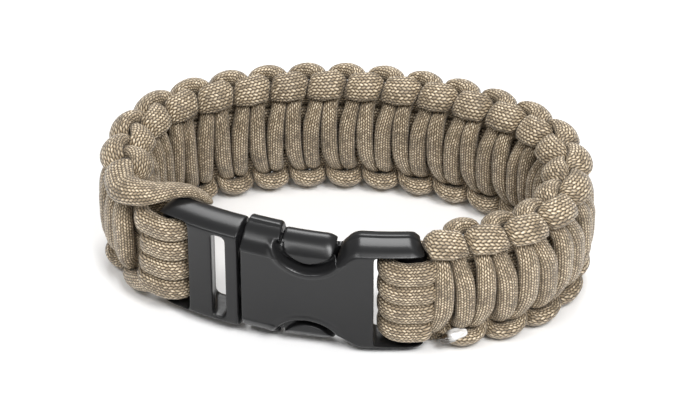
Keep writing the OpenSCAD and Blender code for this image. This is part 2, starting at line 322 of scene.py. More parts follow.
class BuckleSizes(bpy.types.PropertyGroup):
    """Places, roundings and lips of the buckle"""

    grain: length("Grain", "Size of the cells that the solid is remeshed with", 0.2)
    rounding: IntProperty(
        name="Rounding", description="Smoothing steps that round the edges", default=24)
    mouth: length("Mouth", "Place of the socket's mouth along the loop", -14.5)
    window_place: length("Window place", "Place of the release windows along the loop", -2.4)
    window_r: length("Window radius", "Radius of a release window", 5.2)
    socket_half: length("Socket half width", "Half the height of the socket", 11.5)
    socket_end: length("Socket end", "Place of the socket's strap end along the loop", 18.1)
    middle_bar: length("Middle bar", "Place of the plug's middle bar along the loop", -23.6)
    spare_slot: length("Spare slot", "Place of the plug's empty slot along the loop", -19.4)
    plug_end: length("Plug end", "Place of the plug's strap end along the loop", -31.2)
    mouth_gap: length(
        "Mouth gap", "How far the socket's edge stands back from the mouth bar", 0.4)
    mouth_fall: length("Mouth rail rounding", "How far the mouth's rails fall forwards", 3.0)
    rail_fall: length("Rail fall", "Fall of a rail's outer side towards its front", 2.0)
    ear_fall: length("Ear fall", "Fall of a rail's outer side beside the slots", 1.0)
    rail_level: length("Rail level", "Distance of the rails from the buckle's middle", 7.0)
    rail_height: length("Rail height", "Height of the rails above the flat face", 0.15)
    rim_height: length("Rim height", "Height of the rim round a window", 0.3)
    rim_width: length("Rim width", "Half the width of the rim", 0.6)
    dish_width: length("Dish width", "Width of the sunk part round a window", 1.25)
    dish_depth: length("Dish depth", "Depth of the sunk part at a window's edge", 2.2)
    shoulder_length: length("Shoulder length", "Length of the slope beside a window", 4.0)
    shoulder_depth: length("Shoulder depth", "Depth of the slope at the window", 2.8)
    button_fit: length("Button fit", "Gap between a release button and its window", 0.5)
    button_fall: length("Button fall", "Fall of a release button at its far end", 0.7)
    ear_r: length("Ear length", "Length of a rail's rounded end", 3.4)
    ear_drop: length("Ear drop", "Fall of a rail's outer side at its very end", 1.9)
    ear_turn: FloatProperty(
        name="Ear turn", description="Share by which a rail's end turns inwards",
        default=0.6, subtype="FACTOR")
    parting: length("Parting", "Step of the moulding's parting line", 0.2)
    slot_lean: length("Slot lean", "Lean of the empty slot's wall through the plug", 2.4)
    droop: length("Droop", "Fall of the socket's strap end below the band's middle", 1.0)


class StageSizes(bpy.types.PropertyGroup):
    """Camera and light"""

    azimuth: FloatProperty(
        name="Azimuth", description="Turn of the camera to the right of the front",
        default=math.radians(13), unit="ROTATION")
    elevation: FloatProperty(
        name="Elevation", description="Height of the camera as an angle",
        default=math.radians(37), unit="ROTATION")
    distance: FloatProperty(
        name="Distance", description="Distance from the camera to the aim point",
        default=0.6, unit="LENGTH")
    lens: FloatProperty(
        name="Lens", description="Focal length", default=169.7, unit="CAMERA")
    aim: FloatVectorProperty(
        name="Aim", description="Point that the camera looks at", subtype="TRANSLATION",
        unit="LENGTH", default=(0.55 * MM, -0.47 * MM, 12.5 * MM))
    surround: FloatProperty(
        name="Surround", description="Strength of the even light from all sides",
        default=0.28)


class Colours(bpy.types.PropertyGroup):
    """Colours of the cord, the buckle and the floor"""

    cord: colour("Cord", "Picks of the braid", 0.385, 0.285, 0.168)
    # Painted highlight colour, put as a spot on the crown of each pick
    cord_highlight: colour("Cord light", "Lightest picks of the braid", 0.84, 0.73, 0.56)
    # Painted shade colour of the gaps between the picks, also the scorched colour of the melted
    # end
    cord_shade_and_scorch: colour("Cord shade", "Gaps between the picks", 0.030, 0.020, 0.011)
    plastic: colour("Plastic", "Moulded buckle", 0.0125, 0.0125, 0.0130)
    # Colour of the melted end's light part: glassy melted cord, partly a painted highlight
    melt_and_highlight: colour("Melted cord", "Melted end of the cord", 0.74, 0.73, 0.71)
    floor: colour("Floor", "Plain floor", 0.96, 0.96, 0.96)


# Curves

def ease(x):
    """0 below 0, 1 above 1 and the smooth curve 3 x^2 - 2 x^3 between."""
    x = np.clip(x, 0, 1)
    return x * x * (3 - 2 * x)


def fade(x, start, length):
    """The curve of ease from 0 at x = start to 1 after the given length."""
    return ease((x - start) / length)


def fallen(w, back, front):
    """0 at the distance back from the middle and 1 at front: 1 - cos(pi/2 t)."""
    return 1 - np.cos(np.clip((w - back) / (front - back), 0, 1) * math.pi / 2)


def rounded(t):
    """0 up to t = 0 and then the circle 1 - sqrt(1 - t^2), up to 1 at t = 1."""
    return 1 - np.sqrt(1 - np.clip(t, 0, 1) ** 2)


def unit(v):
    """Vectors scaled to length 1."""
    return v / np.maximum(np.linalg.norm(v, axis=-1, keepdims=True), 1e-12)


def lengths_along(path):
    """The way along a path from its start to each of its points."""
    steps = np.linalg.norm(np.diff(path, axis=0), axis=1)
    return np.concatenate([[0], np.cumsum(steps)])


def through(rows, i, f):
    """Rows on the cubic curve from row i + 1, at f = 0, to row i + 2, at f = 1.

    Its slope at a row is half the step from the row before to the row after.
    """
    p0, p1, p2, p3 = (rows[i + q] for q in range(4))
    return 0.5 * (2 * p1 + (p2 - p0) * f + (2 * p0 - 5 * p1 + 4 * p2 - p3) * f ** 2
                  + (3 * p1 - p0 - 3 * p2 + p3) * f ** 3)


def spread(rows, count):
    """Rows of numbers joined by the curve of through and read at count even places."""
    rows = np.vstack([2 * rows[0] - rows[1], rows, 2 * rows[-1] - rows[-2]])
    t = np.linspace(0, len(rows) - 3, count)
    i = np.minimum(t.astype(int), len(rows) - 4)
    return through(rows, i, (t - i)[:, None])


def spread_repeating(rows, count, step):
    """The same for rows that repeat after the given step, mirrored top to bottom."""
    wide = np.vstack([rows[-2:] * MIRROR - step, rows, rows[:3] * MIRROR + step])
    t = np.arange(count) * len(rows) / count
    i = t.astype(int)
    return through(wide, i + 1, (t - i)[:, None])


# The loop: four arcs that run into each other

def meet(a, ra, b, rb, side):
    """Point at distance ra from a and rb from b, on the given side of the line a to b."""
    d = np.linalg.norm(b - a)
    e = (b - a) / d
    m = (ra * ra - rb * rb + d * d) / (2 * d)
    return a + m * e + side * math.sqrt(ra * ra - m * m) * np.array([-e[1], e[0]])


class Loop:
    """The middle line of the band: points and outward directions at places along it."""

    def __init__(self):
        left = np.array([-SIDE_SPAN / 2, -SIDE_LEAN / 2])
        right = -left
        front = meet(left, FRONT_R - LEFT_R, right, FRONT_R - RIGHT_R, 1)
        back = meet(left, BACK_R - LEFT_R, right, BACK_R - RIGHT_R, -1)

        def angle(v):
            return math.atan2(v[1], v[0])

        def turn(a, b):
            return (b - a) % (2 * math.pi)

        front_right, front_left = angle(right - front), angle(left - front)
        back_right, back_left = angle(right - back), angle(left - back)
        half = turn(front_left, front_right) / 2
        arcs = (
            (front, FRONT_R, front_right - half, half),
            (right, RIGHT_R, front_right, turn(front_right, back_right)),
            (back, BACK_R, back_right, turn(back_right, back_left)),
            (left, LEFT_R, back_left, turn(back_left, front_left)),
            (front, FRONT_R, front_left, half),
        )
        self.centres = np.array([a[0] for a in arcs])
        self.radii = np.array([a[1] for a in arcs])
        self.first = np.array([a[2] for a in arcs])
        lengths = self.radii * np.array([a[3] for a in arcs])
        self.ends = np.cumsum(lengths)
        self.starts = self.ends - lengths
        self.length = self.ends[-1]
        self.shift = np.zeros(2)

    def settle(self):
        """Moves the loop so that its band lies where the frame's band lies."""
        low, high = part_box("woven_band")
        points, out = self.at(np.linspace(BAND_START, self.length + BAND_END, FINE))
        outer = points + BAND_T / 2 * out
        self.shift = np.array([
            (outer[:, 0].min() + outer[:, 0].max() - low.x - high.x) / 2,
            outer[:, 1].max() - high.y])

    def at(self, s):
        """Points and outward directions at places s, arrays of the shape of s plus a pair."""
        s = np.mod(s, self.length)
        i = np.clip(np.searchsorted(self.ends, s), 0, len(self.ends) - 1)
        a = self.first[i] + (s - self.starts[i]) / self.radii[i]
        out = np.stack([np.cos(a), np.sin(a)], -1)
        return self.centres[i] + self.radii[i][..., None] * out - self.shift, out

    def place(self, s, v, w):
        """Points in space at places s along the loop, v above its middle and w outwards.

        Towards the back they stand higher, by BACK_LIFT along the curve of ease.
        """
        middle, out = self.at(s)
        flat = middle + w[..., None] * out
        lift = BACK_LIFT * fade(flat[..., 1], LIFT_START, LIFT_LENGTH)
        return np.concatenate([flat, (MID_Z + v + lift)[..., None]], -1)

    def find(self, points):
        """Places s along the loop, heights v and distances w outwards of points.

        The nearest arc counts. The points are the buckle's, which the lift leaves alone.
        """
        flat = points[:, :2] + self.shift
        best = np.full(len(points), np.inf)
        s = np.zeros(len(points))
        w = np.zeros(len(points))
        for centre, radius, first, start, end in zip(
                self.centres, self.radii, self.first, self.starts, self.ends):
            d = flat - centre
            turn = np.mod(np.arctan2(d[:, 1], d[:, 0]) - first + math.pi, 2 * math.pi) - math.pi
            along = radius * turn
            off = np.hypot(d[:, 0], d[:, 1]) - radius
            over = np.maximum(0, np.maximum(-along, along - (end - start)))
            miss = np.hypot(over, off)
            nearer = miss < best
            best = np.where(nearer, miss, best)
            s = np.where(nearer, start + along, s)
            w = np.where(nearer, off, w)
        s = np.where(s > self.length / 2, s - self.length, s)
        return s, points[:, 2] - MID_Z, w


LOOP = Loop()
LOOP.settle()


# Meshes

def mesh_object(name, points, faces, material, uv=None):
    """An object from arrays of points, faces and, for each face corner, a UV place."""
    mesh = bpy.data.meshes.new(name)
    mesh.from_pydata(points.reshape(-1, 3).tolist(), [], faces)
    if uv is not None:
        layer = mesh.uv_layers.new(name="UVMap")
        layer.data.foreach_set("uv", np.ascontiguousarray(uv, dtype=np.float32).ravel())
    mesh.polygons.foreach_set("use_smooth", [True] * len(mesh.polygons))
    mesh.materials.append(material)
    mesh.update()
    piece = bpy.data.objects.new(name, mesh)
    bpy.context.scene.collection.objects.link(piece)
    return piece


def tube(name, rings, along, material):
    """A tube through rings of points [ring, side, 3], closed by a cap at each end.

    UV: x is the share of the way round, y is the length along the cord in metres.
    """
    count, sides = rings.shape[:2]
    row = np.arange(count - 1)[:, None] * sides
    side = np.arange(sides)
    beside = (side + 1) % sides
    quads = np.stack([row + side, row + beside, row + sides + beside, row + sides + side], -1)
    edges = np.linalg.norm(np.roll(rings, -1, axis=1) - rings, axis=2)
    share = np.concatenate([np.zeros((count, 1)), np.cumsum(edges, axis=1)], axis=1)
    share /= share[:, -1:]
    corner = np.stack([share, np.broadcast_to(along[:, None], share.shape)], -1)
    uv = np.stack([corner[:-1, :-1], corner[:-1, 1:], corner[1:, 1:], corner[1:, :-1]], 2)
    points = np.concatenate([rings.reshape(-1, 3), rings[[0, -1]].mean(1)])
    first, last = count * sides, count * sides + 1
    end = (count - 1) * sides
    head = np.stack([np.full(sides, first), beside, side], -1)
    tail = np.stack([np.full(sides, last), side + end, beside + end], -1)
    cap_uv = np.zeros((2 * sides * 3, 2))
    cap_uv[:, 1] = np.repeat([along[0], along[-1]], sides * 3)
    faces = quads.reshape(-1, 4).tolist() + head.tolist() + tail.tolist()
    uv = np.concatenate([uv.reshape(-1, 2), cap_uv])
    return mesh_object(name, points, faces, material, uv)


# The weave

def half_turn():
    """Half a turn of the outer cord in millimetres, evenly spaced: the columns of
    HALF_TURN as arrays, and its length."""
    step = np.array([HALF_TURN_PITCH, 0, 0, 0, 0, 0, 0])
    fine = spread_repeating(np.array(HALF_TURN), FINE, step)
    closed = np.vstack([fine, fine[:1] * MIRROR + step])
    total = lengths_along(closed[:, :3])
    want = np.arange(SAMPLES) * total[-1] / SAMPLES
    even = np.stack([np.interp(want, total, column) for column in closed.T], -1)
    return even[:, :3], even[:, 3], even[:, 4], np.radians(even[:, 5:]), total[-1]


def section_axes(facing, tangent):
    """Directions out of the broad side and across the cord at each point."""
    up, lean = facing.T
    out = np.stack([np.sin(lean), np.cos(lean) * np.sin(up), np.cos(lean) * np.cos(up)], -1)
    out -= (out * tangent).sum(-1, keepdims=True) * tangent
    out = unit(out)
    return out, np.cross(tangent, out)


def spokes(across, out):
    """cos(a) across + sin(a) out at each point, for the angles a of ANGLES."""
    return (np.cos(ANGLES)[:, None] * across[:, None]
            + np.sin(ANGLES)[:, None] * out[:, None])


def pressed_radii(curve, way, spacing, width, thickness):
    """Radius of the section in each direction: an ellipse, cut where a neighbour presses.

    The cut is the plane half way to each neighbouring point of the weave, and the two
    are joined by a high power mean, which rounds the pressed corners.
    """
    step = np.array([2 * HALF_TURN_PITCH, 0, 0])
    whole = np.vstack([curve, curve * [1, -1, 1] + step / 2])
    half_w, half_t = width[:, None] / 2, thickness[:, None] / 2
    reach = 1 / np.sqrt((np.cos(ANGLES) / half_w) ** 2 + (np.sin(ANGLES) / half_t) ** 2)
    cut = np.full((SAMPLES, SIDES), FAR)
    place = np.arange(SAMPLES)[:, None]
    for turn in (-2, -1, 0, 1, 2):
        for own, other in ((True, whole), (False, whole * [1, -1, -1])):
            gap = (other + turn * step)[None] - curve[:, None]
            dist = (gap ** 2).sum(-1)
            along = np.einsum("isk,ijk->isj", way, gap)
            plane = 0.5 * dist[:, None, :] / np.maximum(along, 1e-6)
            if own:
                index = np.arange(2 * SAMPLES)[None] + 2 * SAMPLES * turn
                near = np.abs(place - index) * spacing < OWN_REACH
                plane = np.where(near[:, None, :], FAR, plane)
            cut = np.minimum(cut, plane.min(-1))
    return (reach ** -PRESS_POWER + (cut * PRESS_SHARE) ** -PRESS_POWER) ** (-1 / PRESS_POWER)


def weave_cell():
    """The sections of one half turn, in millimetres, and its length."""
    curve, width, thickness, facing, length = half_turn()
    step = np.array([HALF_TURN_PITCH, 0, 0])
    closed = np.vstack([curve[-1:] * [1, -1, 1] - step, curve, curve[:1] * [1, -1, 1] + step])
    out, across = section_axes(facing, unit(closed[2:] - closed[:-2]))
    way = spokes(across, out)
    radii = pressed_radii(curve, way, length / SAMPLES, width, thickness)
    return curve[:, None] + radii[..., None] * way, length


def knotting_cord(name, flip, first, last, material):
    """One knotting cord: the half turn repeated along the band and bent round the loop.

    Odd half turns are mirrored top to bottom. flip turns the outer cord into the inner
    one, which is the same shape turned half round the band's middle line. first and
    last are the places where the cord starts and ends, counted in half turns.
    """
    cell, length = weave_cell()
    k = np.arange(math.floor(first), math.ceil(last))
    side = np.where(k % 2 == 0, -1, 1) * flip
    cells = np.broadcast_to(cell, (len(k),) + cell.shape).copy()
    cells[..., 0] += (k * HALF_TURN_PITCH)[:, None, None]
    cells[..., 1] *= side[:, None, None]
    cells[..., 2] *= flip
    rings = cells.reshape(-1, SIDES, 3)
    # A mirrored half turn takes the points of its rings the other way round, from the
    # opposite one, so that rings meet point to point and faces stay outward.
    mirrored = np.repeat(side * flip < 0, SAMPLES)
    order = (SIDES // 2 - np.arange(SIDES)) % SIDES
    rings = np.where(mirrored[:, None, None], rings[:, order], rings)
    start, stop = (int(round((end - k[0]) * SAMPLES)) for end in (first, last))
    rings = rings[start:stop]
    room = LOOP.length + BAND_END - BAND_START - FIRST_CROSSING - LAST_CROSSING
    stretch = room / ((CROSSINGS - 1) * HALF_TURN_PITCH)
    s = BAND_START + FIRST_CROSSING + rings[..., 0] * stretch
    points = LOOP.place(s, rings[..., 1] * MM, rings[..., 2] * MM)
    along = np.arange(len(rings)) * length * MM / SAMPLES
    return tube(name, points[:, ::-1], along, material)


def short_cord(name, table, material):
    """A short cord near the plug: ellipses carried along the rows of a table."""
    fine = spread(np.array(table), SHORT_RINGS)
    curve, width, thickness = fine[:, :3], fine[:, 3:4], fine[:, 4:5]
    out, across = section_axes(np.radians(fine[:, 5:]), unit(np.gradient(curve, axis=0)))
    rings = curve[:, None] + spokes(across * width / 2, out * thickness / 2)
    last = LOOP.length + BAND_END - LAST_CROSSING
    points = LOOP.place(last + rings[..., 0] * MM, rings[..., 1] * MM, rings[..., 2] * MM)
    return tube(name, points[:, ::-1], lengths_along(curve) * MM, material)


def strand(name, path, width, thickness, power, material):
    """A strand round a path of (s, v, w) points: superellipses, broad side along v.

    |x / (width/2)| ** power + |y / (thickness/2)| ** power = 1, with x along v and y
    in the plane of s and w, square to the path.
    """
    step = np.gradient(path, axis=0)
    normal = unit(np.stack([-step[:, 2], 0 * step[:, 0], step[:, 0]], -1))
    c, d = np.cos(ANGLES), np.sin(ANGLES)
    x = np.sign(c) * np.abs(c) ** (2 / power)
    y = np.sign(d) * np.abs(d) ** (2 / power)
    rings = path[:, None] + y[None, :, None] * thickness[:, None, None] / 2 * normal[:, None]
    rings[..., 1] += x[None] * width[:, None] / 2
    points = LOOP.place(*np.moveaxis(rings, -1, 0))
    return tube(name, points, lengths_along(path), material)


def droop(s, sizes):
    """How far the buckle hangs below the band's middle line at places s.

    It grows in a straight line from the socket's mouth to its end bar, and fades with
    the curve of ease where the strands go into the band.
    """
    rise = np.clip((s - sizes.mouth) / (SOCKET_BAR - sizes.mouth), 0, 1)
    return sizes.droop * rise * ease((BAND_START + DROOP_FADE - s) / DROOP_FADE)


def core_loop(name, bar, way, level, tuck, sizes, material):
    """A core strand that comes out of the band, goes round an end bar and back.

    way is 1 where the band lies further along the loop than the bar, and else -1.
    Inside the band the strand lies nearer to the bar by tuck.
    """
    half = np.array(CORE_LOOP)
    rows = np.vstack([half, half[-2::-1] * [1, -1, 1, 1, 1]])
    fine = spread(rows, LOOP_RINGS) * [MM, MM, 1, MM, MM]
    s = bar + way * (fine[:, 0] - tuck * fade(fine[:, 0], *TUCK_FADE))
    path = np.stack([s, fine[:, 2] * level - droop(s, sizes), fine[:, 1]], -1)
    return strand(name, path, fine[:, 3], fine[:, 4], LOOP_POWER, material)


def core_strand(name, level, sizes, material):
    """One strand of the core, straight through the band between its two faces."""
    s = np.linspace(BAND_START, LOOP.length + BAND_END, CORE_RINGS)
    zero = 0 * s
    return strand(name, np.stack([s, zero + level, zero], -1), zero + sizes.core_width,
                  zero + sizes.core_thickness, CORE_POWER, material)


def melted_lump(name, sizes, material):
    """The melted end of the inner cord, a flattened ball with folds.

    r = 1 + 0.12 sin(3 b + 2 cos 2 a) sin a + 0.08 sin(5 b + 4 a) sin^2 a, with a the
    angle from the band's direction and b the turn round it.
    """
    a = np.linspace(MELT_CAP, math.pi - MELT_CAP, MELT_RINGS)[:, None]
    b = np.arange(MELT_SIDES)[None] * 2 * math.pi / MELT_SIDES
    r = (1 + 0.12 * np.sin(3 * b + 2 * np.cos(a * 2)) * np.sin(a)
         + 0.08 * np.sin(5 * b + 4 * a) * np.sin(a) ** 2)
    x = r * np.cos(a) * sizes.melt_length / 2
    y = r * np.sin(a) * np.cos(b) * sizes.melt_height / 2
    z = r * np.sin(a) * np.sin(b) * sizes.melt_height / 2
    cos, sin = math.cos(sizes.melt_tilt), math.sin(sizes.melt_tilt)
    points = LOOP.place(
        BAND_START + sizes.melt_along + x * cos - y * sin,
        sizes.melt_up + x * sin + y * cos,
        sizes.melt_out + z)
    return tube(name, points[:, ::-1], a[:, 0] * MELT_SPREAD, material)


# The buckle

def shape_socket(s, v, w, sizes):
    """The socket's rails, dished windows, shoulders, rounded ears and parting line.

    Past a window the rail is lowered along a parabola, the shoulder. The outer side
    falls forwards along a cosine, by mouth_fall up to the window, by rail_fall at its
    far edge and by ear_fall past it. At distance d from a window's edge the face sinks
    by dish_depth times the curve of ease(DISH_STEEP (1 - d / dish_width)), with a rim
    of rim_height exp(-((d - dish_width - rim_width / 2) / rim_width)^2) beside it. The
    rail's end, the ear, turns in along a circle.
    """
    tall = np.abs(v)
    past = s - sizes.window_place - sizes.window_r
    rise = np.clip(past / sizes.shoulder_length, 0, 1)
    dip = sizes.shoulder_depth * (1 - rise) ** 2 * fade(past, *SHOULDER_ONSET)
    tall = tall - fade(tall, *SHOULDER) * dip
    near = fade(past, *PAST_WINDOW)
    turn = fallen(w, *SOCKET_FALL)
    most = sizes.mouth_fall + fade(s, sizes.window_place, sizes.window_r) * (
        sizes.rail_fall - sizes.mouth_fall)
    wide = most * (1 - near) * turn * fade(tall, *MOUTH_RAIL)
    d = np.hypot(s - sizes.window_place, tall - wide - sizes.socket_half) - sizes.window_r
    face = fade(np.abs(w), *FACE)
    beside = d - sizes.dish_width - sizes.rim_width / 2
    rim = sizes.rim_height * np.exp(-(beside / sizes.rim_width) ** 2)
    dish = sizes.dish_depth * ease(DISH_STEEP * (1 - d / sizes.dish_width))
    raised = sizes.rail_height * fade(tall, sizes.rail_level, RAIL_SLOPE)
    w = w + np.sign(w) * face * raised + (w > 0) * face * (rim - dish)
    ear = rounded((s - sizes.socket_end) / sizes.ear_r + 1)
    tall = tall - fade(tall, *SOCKET_EAR) * ear * sizes.ear_drop
    w = w - np.maximum(w, 0) * ear * sizes.ear_turn
    narrow = sizes.ear_fall * near * fade(tall, *SOCKET_EDGE)
    tall = tall - wide - turn * narrow
    back = fade(-w, *PARTING_BACK) * fade(tall, *PARTING_EDGE)
    tall = tall + sizes.parting * back
    gap = sizes.mouth_gap * fade(sizes.mouth - s, *MOUTH_EDGE)
    return s + gap, np.sign(v) * tall - droop(s, sizes), w


def shape_plug(s, v, w, sizes):
    """The plug's rails, its rounded release buttons and the lean of its empty slot.

    A button's lower edge is a circle of window_r - button_fit. Its top falls forwards
    by rail_fall along a cosine, and the circle is narrowed to the width that it has
    that much below its middle, so that it stays whole below the fallen top. A button's
    far end falls along a parabola, and the arm beside a button by mouth_fall. The
    slot's left wall leans by slot_lean through the plug, which opens the slot inwards.
    """
    tall = np.abs(v)
    deep = fade(-w, *THROUGH_PLUG)
    near = fade(s, sizes.middle_bar, sizes.spare_slot - sizes.middle_bar)
    inside = fade(-tall, *SLOT_ENDS) * (s < sizes.spare_slot + SLOT_MARGIN)
    outside = s < sizes.mouth
    raised = outside * sizes.rail_height * fade(tall, sizes.rail_level, RAIL_SLOPE)
    x = s - sizes.window_place
    end = sizes.window_r - BUTTON_SLOPE_START
    fall = sizes.button_fall * np.clip((x - end) / BUTTON_SLOPE_LENGTH, 0, 1) ** 2
    turn = fallen(w, *BUTTON_TURN)
    arm = fall + sizes.mouth_fall * turn
    radius = sizes.window_r - sizes.button_fit
    top = sizes.socket_half - BUTTON_TOP
    narrowed = 1 - np.sqrt(1 - (sizes.rail_fall * turn / radius) ** 2)
    beside = fade(radius - np.abs(x), *BESIDE_BUTTON)
    inner = x - np.clip(x, -radius, radius) * narrowed * beside
    before = sizes.socket_half - np.sqrt(np.maximum(radius ** 2 - x ** 2, 0))
    after = sizes.socket_half - np.sqrt(np.maximum(radius ** 2 - inner ** 2, 0))
    share = np.clip((tall - before) / np.maximum(top - before, LEAST_HEIGHT), 0, 1)
    front = fade(tall, *BUTTON_FACE)
    button = share * sizes.rail_fall * turn - (1 - share) * (after - before) + fall * front
    button = beside * button + (1 - beside) * arm * front
    rail = sizes.ear_fall * fallen(w, *PLUG_FALL) * fade(tall, *PLUG_EDGE)
    tall = tall - np.where(outside, rail, button)
    s = np.where(outside, s, s + inner - x)
    ear = rounded((sizes.plug_end - s) / sizes.ear_r + 1)
    tall = tall - fade(tall, *PLUG_EAR) * ear * sizes.ear_drop
    face = fade(np.abs(w), *FACE)
    w = w + np.sign(w) * face * raised - np.maximum(w, 0) * ear * sizes.ear_turn
    return s - sizes.slot_lean * deep * near * inside, np.sign(v) * tall - droop(s, sizes), w


def moulding(node, shape, sizes, material):
    """A softened copy of a node's solid, reshaped in places along the loop."""
    rough = bpy.data.objects.new(node + "_rough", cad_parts[node].data.copy())
    bpy.context.scene.collection.objects.link(rough)
    weld = rough.modifiers.new("weld", "WELD")
    weld.merge_threshold = WELD
    remesh = rough.modifiers.new("remesh", "REMESH")
    remesh.mode = "VOXEL"
    remesh.voxel_size = sizes.grain
    soften = rough.modifiers.new("soften", "SMOOTH")
    soften.factor = SMOOTHING
    soften.iterations = sizes.rounding
    graph = bpy.context.evaluated_depsgraph_get()
    mesh = bpy.data.meshes.new_from_object(rough.evaluated_get(graph))
    bpy.data.objects.remove(rough)
    mesh.name = node + "_moulding"
    points = np.empty(len(mesh.vertices) * 3)
    mesh.vertices.foreach_get("co", points)
    s, v, w = shape(*LOOP.find(points.reshape(-1, 3)), sizes)
    mesh.vertices.foreach_set("co", LOOP.place(s, v, w).ravel())
    mesh.polygons.foreach_set("use_smooth", [True] * len(mesh.polygons))
    mesh.materials.clear()
    mesh.materials.append(material)
    mesh.update()
    piece = bpy.data.objects.new(node + "_moulding", mesh)
    bpy.context.scene.collection.objects.link(piece)
    return piece


# Materials

class Value:
    """A shader socket with the usual operators, each of which adds a Math node."""

    def __init__(self, tree, socket):
        self.tree = tree
        self.socket = socket

    def maths(self, operation, *values):
        """A Math node of this value and the given ones."""
        return self.tree.node("ShaderNodeMath", {"operation": operation},
                              dict(enumerate((self,) + values)))

    def __add__(self, other):
        return self.maths("ADD", other)

    __radd__ = __add__

    def __sub__(self, other):
        return self.maths("SUBTRACT", other)

    def __rsub__(self, other):
        return (self * -1) + other

    def __mul__(self, other):
        return self.maths("MULTIPLY", other)

    __rmul__ = __mul__

    def __truediv__(self, other):
        return self.maths("DIVIDE", other)

    def __pow__(self, other):
        return self.maths("POWER", other)


class Tree:
    """The node tree of a new material."""

    def __init__(self, name):
        self.material = bpy.data.materials.new(name)
        self.material.use_nodes = True
        self.nodes = self.material.node_tree.nodes
        self.links = self.material.node_tree.links
        self.shader = self.nodes["Principled BSDF"]

    def node(self, kind, settings=None, inputs=None, output=0):
        """A node of a kind with its settings, then values or links on its sockets."""
        made = self.nodes.new(kind)
        for key, value in (settings or {}).items():
            setattr(made, key, value)
        for key, value in (inputs or {}).items():
            self.put(made.inputs[key], value)
        return Value(self, made.outputs[output])

    def put(self, socket, value):
        """Links a value to a socket, or sets it."""
        if isinstance(value, Value):
            self.links.new(value.socket, socket)
        else:
            socket.default_value = value

    def set(self, **inputs):
        """Sets or links the shader's sockets, with spaces written as underscores."""
        for key, value in inputs.items():
            self.put(self.shader.inputs[key.replace("_", " ")], value)

    def mix(self, factor, a, b):
        """A colour between a and b."""
        return self.node("ShaderNodeMix", {"data_type": "RGBA"},
                         {"Factor": factor, "A": a, "B": b}, "Result")

    def noise(self, scale, detail):
        """Noise on object coordinates, about 0 to 1."""
        place = self.node("ShaderNodeTexCoord", output="Object")
        return self.node("ShaderNodeTexNoise", None,
                         {"Vector": place, "Scale": scale, "Detail": detail}, "Fac")

    def bump(self, height, strength, distance):
        """A normal that follows a height."""
        return self.node("ShaderNodeBump", None,
                         {"Height": height, "Strength": strength, "Distance": distance})

    def uv(self, axis):
        """The share of the way round a cord, axis 0, or the metres along it, axis 1."""
        place = self.node("ShaderNodeUVMap", {"uv_map": "UVMap"})
        return self.node("ShaderNodeSeparateXYZ", None, {0: place}, axis)


def rgba(colour):
    """A colour with the fourth number that a socket takes."""
    return tuple(colour) + (1.0,)


def braid_material(name, sizes, colours):
    """Braided sheath: columns of oval picks, each column shifted half a pick.

    dx and dy run from -0.5 to 0.5 over a pick, which swells like the upper half of a
    ball. The gaps between the picks are darkened with painted shade. Each pick has a chance
    tone of its own, slow noise changes the tone along the cord, and the crown of a light
    pick carries a painted highlight dot.
    """
    t = Tree(name)
    x = t.uv(0) * sizes.columns
    y = t.uv(1) / sizes.pick
    column = x.maths("FLOOR")
    dx = x.maths("FRACT") - 0.5
    parity = column.maths("MODULO", 2.0)
    lean = dx * (parity * 2 - 1) * 0.5
    down = y + parity * 0.5 + lean
    row = down.maths("FLOOR")
    dy = down.maths("FRACT") - 0.5
    oval = (dx * 2.0) ** 2 + (dy * 2.0) ** 2
    swell = (1 - oval).maths("MAXIMUM", 0.0) ** 0.5
    cell = t.node("ShaderNodeCombineXYZ", None, {0: column, 1: row})
    chance = t.node("ShaderNodeTexWhiteNoise", {"noise_dimensions": "2D"}, {"Vector": cell})
    patch = t.noise(*CORD_PATCHES)
    # Painted shade: the gaps between the picks go towards the dark colour, while chance and slow
    # noise vary each pick's tone
    shade = (swell * 1.5).maths("MINIMUM", 1.0) * (chance * 0.5 + patch * 0.9 + 0.1)
    body = t.mix(shade.maths("MINIMUM", 1.0), rgba(colours.cord_shade_and_scorch), rgba(colours.cord))
    # Painted highlight: a light spot on each pick's crown, brighter on lighter picks
    dot = (1 - (dx * 3.0) ** 2 - ((dy + 0.1) * 2.8) ** 2).maths("MAXIMUM", 0.0)
    glint = dot * (chance * 1.3 + 0.1) * (patch * 1.5)
    t.set(
        Base_Color=t.mix(glint.maths("MINIMUM", 1.0), body, rgba(colours.cord_highlight)),
        Roughness=0.5,
        Normal=t.bump(swell, 0.9, PICK_DEPTH),
        Sheen_Weight=0.15)
    return t.material


def plastic_material(name, colours):
    """Satin moulded plastic with a fine grain."""
    t = Tree(name)
    grain = t.noise(*PLASTIC_GRAIN)
    cloud = t.noise(*PLASTIC_CLOUDS)
    t.set(
        Base_Color=rgba(colours.plastic),
        Roughness=cloud * 0.08 + 0.25,
        Normal=t.bump(grain, 0.1, GRAIN_DEPTH),
        Specular_IOR_Level=0.36)
    return t.material


def melt_material(name, colours):
    """Melted and hardened cord: glassy and light, partly a painted highlight, with a scorched end.
    """
    t = Tree(name)
    streak = t.noise(*MELT_STREAKS)
    # Partly painted highlight: the light part of the melted end, up to where the scorched part
    # begins
    pale_highlight = (SCORCH_START + streak * SCORCH_FRAY - t.uv(1) * (1 / MM)).maths("MAXIMUM", 0.0)
    t.set(
        Base_Color=t.mix(pale_highlight.maths("MINIMUM", 1.0), rgba(colours.cord_shade_and_scorch), rgba(colours.melt_and_highlight)),
        Roughness=0.12,
        Coat_Weight=1.0,
        Normal=t.bump(streak, 0.5, STREAK_DEPTH))
    return t.material


def floor_material(name, colours):
    """Plain matt floor."""
    t = Tree(name)
    t.set(Base_Color=rgba(colours.floor), Roughness=0.9)
    return t.material


# Operators

